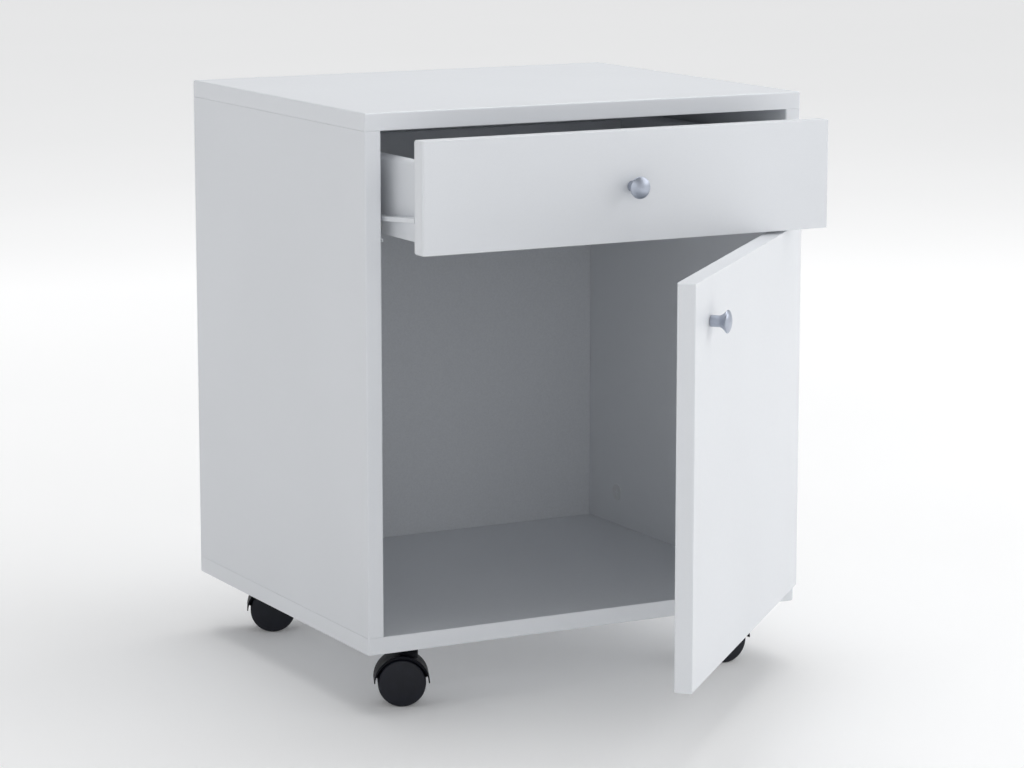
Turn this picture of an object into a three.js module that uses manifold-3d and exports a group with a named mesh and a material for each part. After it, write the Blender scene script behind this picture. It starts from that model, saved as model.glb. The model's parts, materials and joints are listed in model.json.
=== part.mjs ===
// Rolling pedestal cabinet: one drawer on roller runners over an inset door on
// two-link concealed hinges, standing on four hooded twin-wheel casters.
// Millimetres. +X right, +Y back, +Z up. The floor is Z = 0, and the origin is
// the middle of the space that the cabinet takes with its door and drawer ajar.
import * as THREE from 'three';
import { mergeVertices } from 'three/addons/utils/BufferGeometryUtils.js';
import Module from 'manifold-3d';

const wasm = await Module();
wasm.setup();

// ---------------------------------------------------------------- dimensions
const CARCASS = { width: 450, depth: 380, height: 486 };
const BOARD = 16;                 // melamine board
const THIN = 3;                   // hardboard back and drawer bottom
const REVEAL = 2;                 // gap at each side of the inset fronts
const FIT = 0.3;                  // clearance between pieces that fit together
const CASTER_HEIGHT = 58;         // floor to the underside of the carcass
const FRONT_Y = -35;              // front plane of the carcass

const BACK = { inset: 10, groove: 6 };
const DRAWER_OUT = 76;            // how far the drawer stands open at rest
const DRAWER_FRONT = { z0: 368, z1: 467.5 };   // above the carcass underside
const DRAWER_BOX = {
  z0: 377.6, height: 69, side: 12, clear: 12.5, length: 334, top: 5.5, backDrop: 8,
};
const DRAWER_GROOVE = { up: 9, depth: 5 };
const DOOR = { z0: 19, z1: 365.5 };
const DOOR_OPEN = THREE.MathUtils.degToRad(45);
const KNOB = { radius: 9.9, stem: 4.9, neck: 6.5, out: 17.8, doorInset: 53, doorDrop: 38.5 };
const KNOB_SCREW = { radius: 1.9, head: 4, headHeight: 2.6, into: 7 };

// Runner sections are measured from the side panel's inner face (s) and from
// the bottom edge of the drawer's sides (z).
const RAIL = { gauge: 1.2, start: 3, length: 345 };
const ROLLER = { radius: 7.5, width: 5.6, pin: 2.2, fromEnd: 10, chamfer: 0.8 };
const CABINET_RAIL = { top: 12, floor: -5, out: 10.8, lip: 2.2, lid: 9 };
const DRAWER_RAIL = { top: 16.4, lip: 4.1, s: 3.5, under: 9.5, start: 4, rise: 5, riseLength: 62 };

// Hinge pivots with the door closed, as X and the depth behind the front plane:
// the arm's, the knee's and the cup's.
const behindFront = (x, depth) => [x, FRONT_Y + depth];
const HINGE = {
  arm: behindFront(193, 23),
  knee: behindFront(165, 28.7),
  cup: behindFront(195.5, 11),
  cupCentre: 22.5,                // from the door's edge
  cupRadius: 17.5,
  cupDepth: 11.5,
  heights: { upper: 292, lower: 92 },
  linkRatio: 1.25,                // arm link's turn for each turn of the door
  pin: 1.5,
};

const CASTER = { inX: 56, inY: 33, offset: 6.1, radius: 22, width: 12.4, web: 4.4, axle: 3, axleLength: 24 };
const CASTERS = {                 // heading of each trailing wheel, in degrees
  front_left: { x: -1, y: -1, turn: 155.7 },
  front_right: { x: 1, y: -1, turn: -178 },
  rear_left: { x: -1, y: 1, turn: -24 },
  rear_right: { x: 1, y: 1, turn: 64 },
};

// Places worked out from the dimensions
const HALF_W = CARCASS.width / 2;
const INNER_X = HALF_W - BOARD;
const BACK_Y = FRONT_Y + CARCASS.depth;
const BASE_Z = CASTER_HEIGHT;
const TOP_Z = BASE_Z + CARCASS.height;
const FRONT_HALF_W = INNER_X - REVEAL;
const FRONT_REAR_Y = FRONT_Y + BOARD;         // rear face of the closed fronts
const BOX_Z = BASE_Z + DRAWER_BOX.z0;
const BOX_X = INNER_X - DRAWER_BOX.clear;     // outer face of the drawer's sides
const BOX_END_Y = FRONT_REAR_Y + DRAWER_BOX.length;
const RAIL_Y = FRONT_REAR_Y + RAIL.start;

// ----------------------------------------------------------------- materials
const finish = (color, roughness, metalness = 0) =>
  new THREE.MeshStandardMaterial({ color, roughness, metalness });
const MELAMINE = finish(0xe9ecef, 0.45);
const HARDBOARD = finish(0xdfe2e6, 0.6);
const WHITE_STEEL = finish(0xe6e8ea, 0.4, 0.2);
const HINGE_STEEL = finish(0xb9bdc2, 0.3, 0.9);
const KNOB_METAL = finish(0xaeb6c4, 0.35, 0.8);
const SCREW_STEEL = finish(0x9a9da1, 0.35, 0.9);
const BLACK_PLASTIC = finish(0x15161a, 0.45);
const ROLLER_PLASTIC = finish(0xf2f2ee, 0.5);

// ---------------------------------------------------------- geometry helpers
// Only positions, with shared vertices merged and slivers of no area left out.
function bare(geometry) {
  const copy = geometry.clone();
  copy.deleteAttribute('normal');
  copy.deleteAttribute('uv');
  const merged = mergeVertices(copy, 1e-4);
  const index = [];
  for (let i = 0; i < merged.index.count; i += 3) {
    const [a, b, c] = [0, 1, 2].map((k) => merged.index.getX(i + k));
    if (a !== b && b !== c && c !== a) index.push(a, b, c);
  }
  merged.setIndex(index);
  return merged;
}

function toSolid(geometry) {
  const clean = bare(geometry);
  const vertProperties = new Float32Array(clean.attributes.position.array);
  const triVerts = new Uint32Array(clean.index.array);
  return new wasm.Manifold(new wasm.Mesh({ numProp: 3, vertProperties, triVerts }));
}

function toGeometry(solid) {
  const mesh = solid.getMesh();
  const geometry = new THREE.BufferGeometry();
  geometry.setAttribute('position', new THREE.BufferAttribute(mesh.vertProperties, 3));
  geometry.setIndex(new THREE.BufferAttribute(mesh.triVerts, 1));
  return geometry;
}

function join(first, ...others) {
  return toGeometry(others.map(toSolid).reduce((sum, part) => sum.add(part), toSolid(first)));
}

function cut(body, ...tools) {
  return toGeometry(tools.map(toSolid).reduce((rest, tool) => rest.subtract(tool), toSolid(body)));
}

// A box between two opposite corners.
function box([x0, y0, z0], [x1, y1, z1]) {
  const geometry = new THREE.BoxGeometry(x1 - x0, y1 - y0, z1 - z0);
  return geometry.translate((x0 + x1) / 2, (y0 + y1) / 2, (z0 + z1) / 2);
}

function outline(points) {
  return new THREE.Shape(points.map(([u, v]) => new THREE.Vector2(u, v)));
}

// A shape pushed from one level to another. It is drawn in (X, Y) for axis z,
// in (Y, Z) for axis x and in (X, Z) for axis y.
function extrude(shape, axis, from, to, curveSegments = 8) {
  const options = { depth: to - from, bevelEnabled: false, curveSegments };
  const geometry = new THREE.ExtrudeGeometry(shape, options);
  if (axis === 'z') return geometry.translate(0, 0, from);
  if (axis === 'x') {
    const turn = new THREE.Matrix4().set(0, 0, 1, from, 1, 0, 0, 0, 0, 1, 0, 0, 0, 0, 0, 1);
    return geometry.applyMatrix4(turn);
  }
  const turn = new THREE.Matrix4().set(1, 0, 0, 0, 0, 0, -1, to, 0, 1, 0, 0, 0, 0, 0, 1);
  return geometry.applyMatrix4(turn);
}

// A turned part from [radius, height] pairs that start and end on its axis.
function turned(profile, segments, axis = 'z') {
  const points = profile.map(([r, h]) => new THREE.Vector2(r, h));
  const geometry = new THREE.LatheGeometry(points, segments);
  if (axis === 'z') geometry.rotateX(Math.PI / 2);
  if (axis === 'x') geometry.rotateZ(-Math.PI / 2);
  if (axis === '-x') geometry.rotateZ(Math.PI / 2);
  if (axis === '-y') geometry.rotateX(Math.PI);
  return geometry;
}

// A round pin of a given length, standing on a place along an axis.
function pin(radius, length, axis, [x, y, z], segments = 16) {
  const profile = [[0, 0], [radius, 0], [radius, length], [0, length]];
  return turned(profile, segments, axis).translate(x, y, z);
}

// A flat bar with round ends around two points of the plan.
function bar([ax, ay], [bx, by], radius) {
  const angle = Math.atan2(by - ay, bx - ax);
  const shape = new THREE.Shape();
  shape.absarc(ax, ay, radius, angle + Math.PI / 2, angle - Math.PI / 2);
  shape.absarc(bx, by, radius, angle - Math.PI / 2, angle + Math.PI / 2);
  return shape;
}

// ---------------------------------------------------------------- scene graph
const cabinet = new THREE.Group();

function add(name, geometry, material, parent = cabinet) {
  const mesh = new THREE.Mesh(geometry, material);
  mesh.name = name;
  parent.add(mesh);
  return mesh;
}

// ------------------------------------------------------------------- carcass
const groovePlane = [BACK_Y - BACK.inset - THIN - FIT, BACK_Y - BACK.inset + FIT];

// Top and bottom boards lie over and under the sides. The hardboard back sits
// in a stopped groove along each of them.
function flatBoard(name, z0, grooveUp) {
  const board = box([-HALF_W, FRONT_Y, z0], [HALF_W, BACK_Y, z0 + BOARD]);
  const grooveX = INNER_X + BACK.groove;
  const low = grooveUp ? z0 + BOARD - BACK.groove : z0 - BACK.groove;
  const high = low + 2 * BACK.groove;
  const groove = box([-grooveX, groovePlane[0], low], [grooveX, groovePlane[1], high]);
  add(name, cut(board, groove), MELAMINE);
}

function sidePanel(name, side) {
  const inner = side * INNER_X;
  const outer = side * HALF_W;
  const deep = side * (INNER_X + BACK.groove);
  const plan = outline([
    [outer, FRONT_Y], [outer, BACK_Y], [inner, BACK_Y], [inner, groovePlane[1]],
    [deep, groovePlane[1]], [deep, groovePlane[0]], [inner, groovePlane[0]], [inner, FRONT_Y],
  ]);
  add(name, extrude(plan, 'z', BASE_Z + BOARD, TOP_Z - BOARD), MELAMINE);
}

function backPanel() {
  const reach = BACK.groove - FIT;
  const [x, y] = [INNER_X + reach, BACK_Y - BACK.inset];
  const [z0, z1] = [BASE_Z + BOARD - reach, TOP_Z - BOARD + reach];
  add('back_panel', box([-x, y - THIN, z0], [x, y, z1]), HARDBOARD);
}

flatBoard('top_panel', TOP_Z - BOARD, false);
flatBoard('bottom_panel', BASE_Z, true);
sidePanel('side_panel_left', -1);
sidePanel('side_panel_right', 1);
backPanel();

// ------------------------------------------------------------------- runners
// Each roller turns on a rivet that is part of its rail.
const railShape = (side, points) => outline(points.map(([s, z]) => [side * (INNER_X - s), BOX_Z + z]));
const railTrack = DRAWER_RAIL.top - RAIL.gauge;           // underside of the drawer rail's flange
const CABINET_ROLLER = {
  s0: 5.2, y: RAIL_Y + ROLLER.fromEnd, z: railTrack - FIT - ROLLER.radius,
};
const DRAWER_ROLLER = {
  s0: 5.4, y: BOX_END_Y - ROLLER.fromEnd, z: CABINET_RAIL.floor + FIT + ROLLER.radius,
};

function rollerRing(side, place) {
  const { radius, width, chamfer } = ROLLER;
  const bore = ROLLER.pin + FIT;
  const profile = [
    [bore, 0], [radius - chamfer, 0], [radius, chamfer], [radius, width - chamfer],
    [radius - chamfer, width], [bore, width], [bore, 0],
  ];
  const ring = turned(profile, 24, side > 0 ? '-x' : 'x');
  return ring.translate(side * (INNER_X - place.s0), place.y, BOX_Z + place.z);
}

function rivet(side, from, to, place) {
  const start = [side * (INNER_X - from), place.y, BOX_Z + place.z];
  return pin(ROLLER.pin, Math.abs(to - from), side * (to - from) > 0 ? '-x' : 'x', start, 12);
}

// A channel whose floor carries the drawer's roller. Its lid, which keeps that
// roller down, starts behind the cabinet's own roller.
function cabinetRail(name, side) {
  const g = RAIL.gauge;
  const { top, floor, out, lip, lid } = CABINET_RAIL;
  const end = RAIL_Y + RAIL.length;
  const section = railShape(side, [
    [0, top], [g, top], [g, floor], [out, floor], [out, floor - g - lip], [out - g, floor - g - lip],
    [out - g, floor - g], [0, floor - g],
  ]);
  const lidShape = railShape(side, [[0, top], [lid, top], [lid, top - g], [0, top - g]]);
  const lidStart = CABINET_ROLLER.y + 2 * ROLLER.radius;
  const axle = rivet(side, g / 2, CABINET_ROLLER.s0 + ROLLER.width, CABINET_ROLLER);
  const body = join(extrude(section, 'y', RAIL_Y, end), extrude(lidShape, 'y', lidStart, end), axle);
  add(name, body, WHITE_STEEL);
}

// A length of rail whose section climbs steadily towards its front end.
function climbing(section, y0, y1, rise) {
  const geometry = extrude(section, 'y', y0, y1);
  const position = geometry.attributes.position;
  for (let i = 0; i < position.count; i += 1) {
    const share = (y1 - position.getY(i)) / (y1 - y0);
    position.setZ(i, position.getZ(i) + share * rise);
  }
  return geometry;
}

// An angle around the side's bottom edge, with a flange that runs on the
// cabinet's roller. The flange climbs at the front, so that the drawer closes
// over the roller by itself.
function drawerRail(name, side, parent) {
  const g = RAIL.gauge;
  const face = DRAWER_BOX.clear;
  const { top, lip, s, under, start, rise, riseLength } = DRAWER_RAIL;
  const y0 = FRONT_REAR_Y + start;
  const angle = railShape(side, [
    [face + under, 0], [face, 0], [face, top], [face - g, top], [face - g, -g], [face + under, -g],
  ]);
  const flange = railShape(side, [
    [face, top], [s, top], [s, top - lip], [s + g, top - lip], [s + g, railTrack], [face - g, railTrack],
    [face - g, top - lip], [face, top - lip],
  ]);
  const wall = railShape(side, [[face, 0], [face, top], [face - g, top], [face - g, 0]]);
  const riseEnd = y0 + riseLength;
  const body = join(
    extrude(angle, 'y', y0, BOX_END_Y),
    extrude(flange, 'y', riseEnd, BOX_END_Y),
    climbing(wall, y0, riseEnd, rise),
    climbing(flange, y0, riseEnd, rise),
    rivet(side, face - g / 2, DRAWER_ROLLER.s0, DRAWER_ROLLER),
  );
  add(name, body, WHITE_STEEL, parent);
}

const drawer = new THREE.Group();
drawer.position.y = -DRAWER_OUT;
cabinet.add(drawer);

for (const [name, side] of [['left', -1], ['right', 1]]) {
  cabinetRail(`cabinet_rail_${name}`, side);
  add(`cabinet_roller_${name}`, rollerRing(side, CABINET_ROLLER), ROLLER_PLASTIC);
  drawerRail(`drawer_rail_${name}`, side, drawer);
  add(`drawer_roller_${name}`, rollerRing(side, DRAWER_ROLLER), ROLLER_PLASTIC, drawer);
}

// -------------------------------------------------------------------- drawer
function knob(name, screwName, [x, y, z], parent) {
  const { radius, stem, neck, out } = KNOB;
  const { head, headHeight, into } = KNOB_SCREW;
  const bore = KNOB_SCREW.radius + FIT;
  const rim = out - 3.4;                        // where the head is widest
  const profile = [
    [0, into + 1], [bore, into + 1], [bore, 0], [stem, 0], [stem, neck], [stem + 1, neck + 2],
    [stem + 3.2, neck + 5], [radius, rim - 0.6], [radius, rim + 0.4], [radius - 0.8, rim + 1.2],
    [radius - 2.6, rim + 2.3], [radius - 5.4, out - 0.4], [0, out],
  ];
  add(name, turned(profile, 28, '-y').translate(x, y - FIT, z), KNOB_METAL, parent);
  const shank = BOARD + into;
  const bevel = 0.8;
  const screw = [
    [0, -headHeight], [head - bevel, -headHeight], [head, bevel - headHeight], [head, 0],
    [KNOB_SCREW.radius, 0], [KNOB_SCREW.radius, shank], [0, shank],
  ];
  add(screwName, turned(screw, 16, '-y').translate(x, y + BOARD + FIT, z), SCREW_STEEL, parent);
}

function knobHole([x, y, z]) {
  return pin(KNOB_SCREW.radius + FIT, BOARD + 2, 'y', [x, y - 1, z]);
}

const [grooveLow, grooveHigh] = [DRAWER_GROOVE.up - FIT, DRAWER_GROOVE.up + THIN + FIT];
const BOX_INNER_X = BOX_X - DRAWER_BOX.side;

function drawerFront() {
  const [z0, z1] = [BASE_Z + DRAWER_FRONT.z0, BASE_Z + DRAWER_FRONT.z1];
  const knobPlace = [0, FRONT_Y, (z0 + z1) / 2];
  const board = box([-FRONT_HALF_W, FRONT_Y, z0], [FRONT_HALF_W, FRONT_REAR_Y, z1]);
  const x = BOX_INNER_X + DRAWER_GROOVE.depth;
  const y = FRONT_REAR_Y - DRAWER_GROOVE.depth;
  const groove = box([-x, y, BOX_Z + grooveLow], [x, FRONT_REAR_Y + 1, BOX_Z + grooveHigh]);
  add('drawer_front', cut(board, groove, knobHole(knobPlace)), MELAMINE, drawer);
  knob('drawer_knob', 'drawer_knob_screw', knobPlace, drawer);
}

function drawerSide(name, side) {
  const { height, top } = DRAWER_BOX;
  const [outer, inner] = [side * BOX_X, side * BOX_INNER_X];
  const deep = inner + side * DRAWER_GROOVE.depth;
  const section = new THREE.Shape();
  section.moveTo(outer, BOX_Z);
  section.lineTo(outer, BOX_Z + height - top);
  section.quadraticCurveTo(outer, BOX_Z + height, outer - side * top, BOX_Z + height);
  section.lineTo(inner + side * top, BOX_Z + height);
  section.quadraticCurveTo(inner, BOX_Z + height, inner, BOX_Z + height - top);
  section.lineTo(inner, BOX_Z + grooveHigh);
  section.lineTo(deep, BOX_Z + grooveHigh);
  section.lineTo(deep, BOX_Z + grooveLow);
  section.lineTo(inner, BOX_Z + grooveLow);
  section.lineTo(inner, BOX_Z);
  add(name, extrude(section, 'y', FRONT_REAR_Y, BOX_END_Y, 4), MELAMINE, drawer);
}

function drawerBackAndBottom() {
  const z = BOX_Z + DRAWER_GROOVE.up;
  const backTop = BOX_Z + DRAWER_BOX.height - DRAWER_BOX.backDrop;
  const backY = BOX_END_Y - DRAWER_BOX.side;
  const back = box([-BOX_INNER_X, backY, z + THIN], [BOX_INNER_X, BOX_END_Y, backTop]);
  add('drawer_back', back, MELAMINE, drawer);
  const x = BOX_INNER_X + DRAWER_GROOVE.depth - FIT;
  const front = FRONT_REAR_Y - DRAWER_GROOVE.depth + FIT;
  add('drawer_bottom', box([-x, front, z], [x, BOX_END_Y, z + THIN]), HARDBOARD, drawer);
}

drawerFront();
drawerSide('drawer_side_left', -1);
drawerSide('drawer_side_right', 1);
drawerBackAndBottom();

// ------------------------------------------------------------ door and hinges
// Each hinge unfolds: its arm link turns on the arm, its cup link keeps its
// heading, and the door turns on the cup link.
const [armX, armY] = HINGE.arm;
const linkTurn = HINGE.linkRatio * DOOR_OPEN;
const kneeArm = new THREE.Vector2(HINGE.knee[0] - armX, HINGE.knee[1] - armY);
const kneeMove = kneeArm.clone().rotateAround(new THREE.Vector2(), linkTurn).sub(kneeArm);

// A group that turns its contents about a point of the plan.
function turnedAbout([x, y], angle, parent) {
  const outer = new THREE.Group();
  outer.position.set(x, y, 0);
  outer.rotation.z = angle;
  const inner = new THREE.Group();
  inner.position.set(-x, -y, 0);
  outer.add(inner);
  parent.add(outer);
  return inner;
}

const armLinks = turnedAbout(HINGE.arm, linkTurn, cabinet);
const cupLinks = new THREE.Group();
cupLinks.position.set(kneeMove.x, kneeMove.y, 0);
cabinet.add(cupLinks);
const door = turnedAbout(HINGE.cup, DOOR_OPEN, cupLinks);

const LINK = { half: 2.5, forkHalf: 4.6, radius: 3 };     // half heights of the plain and forked ends
const PLATE = { thick: 2.6, back: 50, half: 8, halfLong: 18, halfTall: 23, waist: 9 };
const ARM = { half: 5.2, nose: 3.4, wall: 2.9, outer: 10.5, long: 50 };
const CUP = { wall: 1, flange: 1.2, flangeLeft: 8, flangeRight: 16, flangeHalf: 27 };
const CUP_PIN_HALF = 7;
const cupCentreX = FRONT_HALF_W - HINGE.cupCentre;
const level = (height) => BASE_Z + height;

// A hole for a hinge pin, right through a link or arm.
function pinHole([x, y], z) {
  const reach = 2 * ARM.half;
  return pin(HINGE.pin + FIT, 2 * reach, 'z', [x, y, z - reach], 12);
}

// A cross-shaped plate on the side panel.
function hingePlate(name, z) {
  const { thick, back, half, halfLong, halfTall, waist } = PLATE;
  const y = FRONT_Y + back;
  const cross = outline([
    [y - half, z - halfTall], [y + half, z - halfTall], [y + half, z - waist], [y + halfLong, z - waist],
    [y + halfLong, z + waist], [y + half, z + waist], [y + half, z + halfTall], [y - half, z + halfTall],
    [y - half, z + waist], [y - halfLong, z + waist], [y - halfLong, z - waist], [y - half, z - waist],
  ]);
  add(name, extrude(cross, 'x', INNER_X - thick, INNER_X), HINGE_STEEL);
}

// The arm is cranked: a foot along the plate and a forked nose.
function hingeArm(name, z) {
  const { half, nose, wall, outer, long } = ARM;
  const plan = outline([
    [armX - nose, armY - nose], [armX + nose, armY - nose], [INNER_X - wall - 1.7, armY + 8],
    [INNER_X - wall, armY + 14], [INNER_X - wall, armY + long], [INNER_X - outer, armY + long],
    [INNER_X - outer, armY + 17], [armX - nose, armY + 6],
  ]);
  const body = extrude(plan, 'z', z - half, z + half);
  const gap = LINK.half + FIT;
  const clear = LINK.radius + 1.4;
  const slot = box([armX - 2 * clear, armY - 2 * clear, z - gap], [armX + clear, armY + clear, z + gap]);
  add(name, cut(body, slot, pinHole(HINGE.arm, z)), HINGE_STEEL);
}

function armLink(name, z) {
  const body = extrude(bar(HINGE.arm, HINGE.knee, LINK.radius), 'z', z - LINK.half, z + LINK.half);
  add(name, cut(body, pinHole(HINGE.arm, z), pinHole(HINGE.knee, z)), HINGE_STEEL, armLinks);
}

// The cup link is bent, so that it leaves the cup clear of the door's edge. It
// is a fork around the arm link at the knee and solid inside the cup.
function cupLink(name, z) {
  const [kneeX, kneeY] = HINGE.knee;
  const [cupX, cupY] = HINGE.cup;
  const bend = [cupX - 12.5, cupY + 2.5];
  const [low, high] = [z - LINK.forkHalf, z + LINK.forkHalf];
  const inCup = extrude(bar(HINGE.cup, bend, LINK.radius), 'z', low, high);
  const reach = extrude(bar(bend, HINGE.knee, LINK.radius), 'z', low, high);
  const gap = LINK.half + FIT;
  const slotFront = bend[1] + LINK.radius + 1.4;
  const slot = box([kneeX - 6, slotFront, z - gap], [armX + 8, kneeY + 8, z + gap]);
  const body = cut(join(inCup, reach), slot, pinHole(HINGE.knee, z), pinHole(HINGE.cup, z));
  add(name, body, HINGE_STEEL, cupLinks);
}

function hingeCup(name, z) {
  const { cupRadius: r, cupDepth } = HINGE;
  const { wall, flange, flangeLeft, flangeRight, flangeHalf } = CUP;
  const place = [cupCentreX, FRONT_REAR_Y + FIT, z];
  const solid = [[0, -cupDepth], [r, -cupDepth], [r, flange / 2], [0, flange / 2]];
  const space = [[0, wall - cupDepth], [r - wall, wall - cupDepth], [r - wall, 2 * flange], [0, 2 * flange]];
  const bowl = turned(solid, 32, 'y').translate(...place);
  const hollow = turned(space, 32, 'y').translate(...place);
  const plate = box(
    [cupCentreX - flangeLeft, place[1], z - flangeHalf],
    [cupCentreX + flangeRight, place[1] + flange, z + flangeHalf],
  );
  add(name, cut(join(bowl, plate), hollow), HINGE_STEEL, door);
}

const DOOR_KNOB = [-FRONT_HALF_W + KNOB.doorInset, FRONT_Y, BASE_Z + DOOR.z1 - KNOB.doorDrop];

function doorPanel() {
  const [low, high] = [BASE_Z + DOOR.z0, BASE_Z + DOOR.z1];
  const board = box([-FRONT_HALF_W, FRONT_Y, low], [FRONT_HALF_W, FRONT_REAR_Y, high]);
  const bores = Object.values(HINGE.heights).map((height) => {
    const depth = HINGE.cupDepth + FIT;
    const place = [cupCentreX, FRONT_REAR_Y - depth, level(height)];
    return pin(HINGE.cupRadius + FIT, depth + 2, 'y', place, 32);
  });
  add('door_panel', cut(board, knobHole(DOOR_KNOB), ...bores), MELAMINE, door);
  knob('door_knob', 'door_knob_screw', DOOR_KNOB, door);
}

doorPanel();
for (const [name, height] of Object.entries(HINGE.heights)) {
  const z = level(height);
  hingePlate(`hinge_plate_${name}`, z);
  hingeArm(`hinge_arm_${name}`, z);
  armLink(`arm_link_${name}`, z);
  cupLink(`cup_link_${name}`, z);
  hingeCup(`hinge_cup_${name}`, z);
  const hingePin = ([x, y], half) => pin(HINGE.pin, 2 * half, 'z', [x, y, z - half], 12);
  add(`arm_pin_${name}`, hingePin(HINGE.arm, ARM.half), SCREW_STEEL);
  add(`knee_pin_${name}`, hingePin(HINGE.knee, LINK.forkHalf), SCREW_STEEL, armLinks);
  add(`cup_pin_${name}`, hingePin(HINGE.cup, CUP_PIN_HALF), SCREW_STEEL, door);
}

// ------------------------------------------------------------------- casters
// Measured from the swivel axis on the floor, with the wheels trailing to +X.
const CASTER_PLATE = { half: 17, thick: 2.5 };
const HOOD = { outer: 25.4, crown: 2.6, tip: 1.1, halfWidth: 14.9, top: 50.2, neck: 9 };
const KINGPIN = { radius: 4, into: 3.6 };

function casterPlate(name, [x, y]) {
  const { half, thick } = CASTER_PLATE;
  const under = BASE_Z - thick;
  const plate = box([x - half, y - half, under], [x + half, y + half, BASE_Z]);
  const bossStart = HOOD.top + FIT;
  const boss = pin(HOOD.neck, under + thick / 2 - bossStart, 'z', [x, y, bossStart], 24);
  const kingpin = pin(KINGPIN.radius, KINGPIN.into + 1, 'z', [x, y, HOOD.top - KINGPIN.into], 16);
  add(name, join(plate, boss, kingpin), BLACK_PLASTIC);
}

// An arch over both wheels, thinner towards its two tips at axle height, with a
// neck around the kingpin and a web between the wheels.
function casterHood(name, parent) {
  const { outer, crown, tip, halfWidth, top, neck } = HOOD;
  const [cx, cz] = [CASTER.offset, CASTER.radius];
  const halfDisc = new THREE.Shape();
  halfDisc.absarc(cx, cz, outer, 0, Math.PI);
  const drum = extrude(halfDisc, 'y', -halfWidth, halfWidth, 14);
  const steps = 28;
  const arch = Array.from({ length: steps + 1 }, (_, i) => {
    const angle = (i / steps) * Math.PI;
    const inner = outer - crown + (crown - tip) * Math.cos(angle) ** 6;
    return [cx + inner * Math.cos(angle), cz + inner * Math.sin(angle)];
  });
  const below = cz - 1;
  const hollowShape = outline([...arch, [cx - outer + tip, below], [cx + outer - tip, below]]);
  const hollow = extrude(hollowShape, 'y', -2 * halfWidth, 2 * halfWidth);
  const neckPin = pin(neck, top - cz, 'z', [0, 0, cz], 24);
  const shell = cut(join(drum, neckPin), hollow);
  const webShape = new THREE.Shape();
  webShape.absarc(cx, cz, outer - crown + 1, 0, Math.PI);
  webShape.lineTo(cx - 7, cz - 7);
  webShape.lineTo(cx + 7, cz - 7);
  const web = extrude(webShape, 'y', -CASTER.web / 2, CASTER.web / 2, 12);
  const axleHole = pin(CASTER.axle + FIT, 2 * CASTER.web, 'y', [cx, -CASTER.web, cz], 16);
  const socket = pin(KINGPIN.radius + FIT, 2 * KINGPIN.into, 'z', [0, 0, top - KINGPIN.into - FIT], 16);
  add(name, cut(join(shell, web), axleHole, socket), BLACK_PLASTIC, parent);
}

function casterWheel(name, side, parent) {
  const { radius: r, width: w, offset, web, axle } = CASTER;
  const bore = axle + FIT;
  const boreEnd = w - 1.9;
  const profile = [
    [0, boreEnd], [bore, boreEnd], [bore, 0], [r - 1.5, 0], [r, 1.5], [r, w - 3],
    [r - 1, w - 1.2], [r - 3, w - 0.3], [0, w],
  ];
  const wheel = turned(profile, 26, side > 0 ? 'y' : '-y');
  add(name, wheel.translate(offset, side * (web / 2 + FIT + 0.1), r), BLACK_PLASTIC, parent);
}

for (const [name, { x, y, turn }] of Object.entries(CASTERS)) {
  const middleY = (FRONT_Y + BACK_Y) / 2;
  const place = [x * (HALF_W - CASTER.inX), middleY + y * (CARCASS.depth / 2 - CASTER.inY)];
  casterPlate(`caster_plate_${name}`, place);
  const swivel = new THREE.Group();
  swivel.position.set(...place, 0);
  swivel.rotation.z = THREE.MathUtils.degToRad(turn);
  cabinet.add(swivel);
  casterHood(`caster_hood_${name}`, swivel);
  const { offset, radius, axle, axleLength } = CASTER;
  const axlePin = pin(axle, axleLength, 'y', [offset, -axleLength / 2, radius], 16);
  add(`caster_axle_${name}`, axlePin, SCREW_STEEL, swivel);
  casterWheel(`caster_wheel_${name}_a`, 1, swivel);
  casterWheel(`caster_wheel_${name}_b`, -1, swivel);
}

export default cabinet;
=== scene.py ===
"""Looks of a white rolling pedestal cabinet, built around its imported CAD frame."""

import json
import math

import bmesh
import bpy
from mathutils import Matrix, Vector

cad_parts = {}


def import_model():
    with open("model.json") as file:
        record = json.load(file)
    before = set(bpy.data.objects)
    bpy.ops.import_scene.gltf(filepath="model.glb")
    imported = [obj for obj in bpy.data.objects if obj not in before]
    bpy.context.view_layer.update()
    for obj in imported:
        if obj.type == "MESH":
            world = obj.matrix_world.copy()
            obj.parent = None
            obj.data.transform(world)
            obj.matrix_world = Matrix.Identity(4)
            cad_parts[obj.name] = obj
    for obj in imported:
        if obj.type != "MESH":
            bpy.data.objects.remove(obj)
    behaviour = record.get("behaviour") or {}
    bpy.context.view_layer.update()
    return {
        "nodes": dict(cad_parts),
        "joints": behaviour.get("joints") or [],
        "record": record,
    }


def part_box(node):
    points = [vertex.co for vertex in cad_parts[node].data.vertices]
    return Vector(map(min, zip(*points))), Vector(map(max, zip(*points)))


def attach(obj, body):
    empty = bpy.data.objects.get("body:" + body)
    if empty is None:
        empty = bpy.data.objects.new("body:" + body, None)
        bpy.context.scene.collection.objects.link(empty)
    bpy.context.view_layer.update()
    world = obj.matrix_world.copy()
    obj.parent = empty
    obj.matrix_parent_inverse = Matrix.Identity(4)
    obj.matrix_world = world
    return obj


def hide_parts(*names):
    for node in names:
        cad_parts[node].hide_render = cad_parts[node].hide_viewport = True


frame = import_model()
nodes = frame["nodes"]
joints = {joint["name"]: joint for joint in frame["joints"]}
body_of = {n: body for body, members in frame["record"]["behaviour"]["bodies"].items() for n in members}
slot_of = {row["node"]: row["material_slot"] for row in frame["record"]["subparts"]}

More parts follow.
